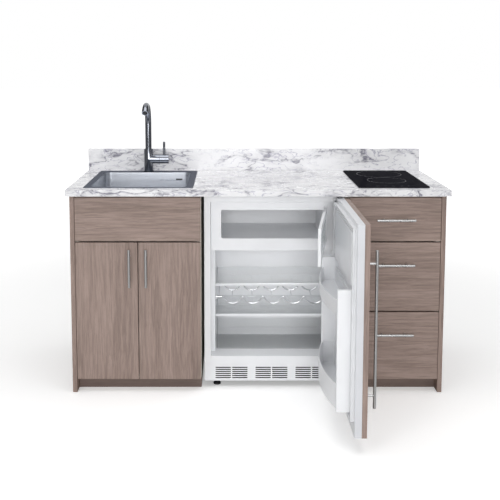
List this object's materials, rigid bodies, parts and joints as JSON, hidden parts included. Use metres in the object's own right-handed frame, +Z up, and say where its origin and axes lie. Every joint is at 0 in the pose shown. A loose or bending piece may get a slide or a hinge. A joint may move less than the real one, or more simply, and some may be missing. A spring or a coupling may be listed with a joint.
{
  "type": "kitchenette unit with sink and hob",
  "caption": "Compact kitchen row: sink base with doors, drawer base with ceramic hob, panelled refrigerator between them, one worktop with backsplash and mixer tap.",
  "frame": {"origin": "on the floor at the wall, half way along the row of units", "axes": "+X to the right along the row, +Y into the wall, +Z up; the fronts face -Y"},
  "size_m": [1.575, 1.177, 1.1947],
  "materials": {
    "laminate": "satin",
    "board": "matte",
    "toe_board": "matte",
    "marble": "gloss",
    "sink_steel": "satin",
    "satin_steel": "satin",
    "zinc_steel": "satin",
    "dark_chrome": "polished",
    "waste_plastic": "satin",
    "black_glass": "gloss",
    "heater_board": "matte",
    "white_enamel": "gloss",
    "white_plastic": "satin",
    "foam": "matte",
    "black_metal": "satin",
    "black_plastic": "matte",
    "shelf_glass": "gloss",
    "clear_plastic": "gloss",
    "frosted_plastic": "satin",
    "chrome_wire": "polished",
    "gasket_rubber": "satin"
  },
  "bodies": {
    "kitchenette": {"worktop": "marble", "backsplash": "marble", "end_panels": "laminate", "carcass_sides": "board", "carcass_floors": "board", "carcass_backs": "board", "carcass_rails": "board", "bay_rails": "board", "toe_kicks": "toe_board", "false_front": "laminate", "hinge_arms": "zinc_steel", "cabinet_runners": "zinc_steel", "sink": "sink_steel", "sink_drain": "sink_steel", "waste_trap": "waste_plastic", "tap_body": "dark_chrome", "hob_glass": "black_glass", "hob_case": "zinc_steel", "hob_heaters": "heater_board", "fridge_shell": "white_enamel", "fridge_insulation": "foam", "fridge_liner": "white_plastic", "fridge_base": "black_metal", "fridge_feet": "black_plastic", "toe_grille": "white_plastic", "compressor": "black_metal", "condenser": "black_metal", "freezer_compartment": "white_plastic", "shelf_panes": "shelf_glass", "shelf_trims": "white_plastic", "wine_rack": "chrome_wire", "thermostat_housing": "white_plastic", "fridge_hinges": "zinc_steel"},
    "left_door": {"left_door": "laminate", "left_door_fittings": "satin_steel"},
    "right_door": {"right_door": "laminate", "right_door_fittings": "satin_steel"},
    "top_drawer": {"top_drawer_front": "laminate", "top_drawer_box": "board", "top_drawer_fittings": "satin_steel"},
    "middle_drawer": {"middle_drawer_front": "laminate", "middle_drawer_box": "board", "middle_drawer_fittings": "satin_steel"},
    "bottom_drawer": {"bottom_drawer_front": "laminate", "bottom_drawer_box": "board", "bottom_drawer_fittings": "satin_steel"},
    "strainer": {"basket_strainer": "sink_steel"},
    "spout": {"tap_spout": "dark_chrome"},
    "mixer_hub": {"tap_hub": "dark_chrome"},
    "lever": {"tap_lever": "dark_chrome"},
    "fridge_door": {"fridge_door_case": "white_enamel", "fridge_door_liner": "white_plastic", "fridge_door_gasket": "gasket_rubber", "fridge_door_panel": "laminate", "fridge_door_pull": "satin_steel", "fridge_door_bins": "white_plastic"},
    "flap": {"freezer_flap": "white_plastic", "freezer_flap_window": "frosted_plastic"},
    "crisper": {"crisper_drawer": "clear_plastic"},
    "dial": {"thermostat_dial": "white_plastic"}
  },
  "joints": [
    {"name": "fridge_door_hinge", "type": "hinge", "parent": "kitchenette", "child": "fridge_door", "pos_m": [0.359, -0.595, 0], "axis": [0, 0, -1], "range_deg": [-20, 90]},
    {"name": "flap_hinge", "type": "hinge", "parent": "kitchenette", "child": "flap", "pos_m": [0.285, -0.54, 0], "axis": [0, 0, -1], "range_deg": [-18, 81]},
    {"name": "crisper_slide", "type": "slide", "parent": "kitchenette", "child": "crisper", "axis": [0, 1, 0], "range_m": [-0.13, 0]},
    {"name": "left_door_hinge", "type": "hinge", "parent": "kitchenette", "child": "left_door", "pos_m": [-0.7545, -0.607, 0], "axis": [0, 0, -1], "range_deg": [0, 110]},
    {"name": "right_door_hinge", "type": "hinge", "parent": "kitchenette", "child": "right_door", "pos_m": [-0.2365, -0.607, 0], "axis": [0, 0, 1], "range_deg": [0, 110]},
    {"name": "top_drawer_slide", "type": "slide", "parent": "kitchenette", "child": "top_drawer", "axis": [0, -1, 0], "range_m": [0, 0.33]},
    {"name": "middle_drawer_slide", "type": "slide", "parent": "kitchenette", "child": "middle_drawer", "axis": [0, -1, 0], "range_m": [0, 0.33]},
    {"name": "bottom_drawer_slide", "type": "slide", "parent": "kitchenette", "child": "bottom_drawer", "axis": [0, -1, 0], "range_m": [0, 0.33]},
    {"name": "spout_swivel", "type": "hinge", "parent": "kitchenette", "child": "spout", "pos_m": [-0.4955, -0.081, 0.9682], "axis": [0, 0, 1], "range_deg": [-60, 60]},
    {"name": "mixer_turn", "type": "hinge", "parent": "kitchenette", "child": "mixer_hub", "pos_m": [-0.4225, -0.081, 0.9252], "axis": [1, 0, 0], "range_deg": [-45, 45]},
    {"name": "lever_tilt", "type": "hinge", "parent": "mixer_hub", "child": "lever", "pos_m": [-0.4225, -0.081, 0.9252], "axis": [0, 1, 0], "range_deg": [0, 20]},
    {"name": "strainer_lift", "type": "slide", "parent": "kitchenette", "child": "strainer", "axis": [0, 0, 1], "range_m": [0, 0.06]},
    {"name": "dial_turn", "type": "hinge", "parent": "kitchenette", "child": "dial", "pos_m": [0.294, -0.359, 0.533], "axis": [1, 0, 0], "range_deg": [0, 270]}
  ],
  "couplings": [
    {"joint": "flap_hinge", "follows": "fridge_door_hinge", "ratio": 0.9}
  ]
}
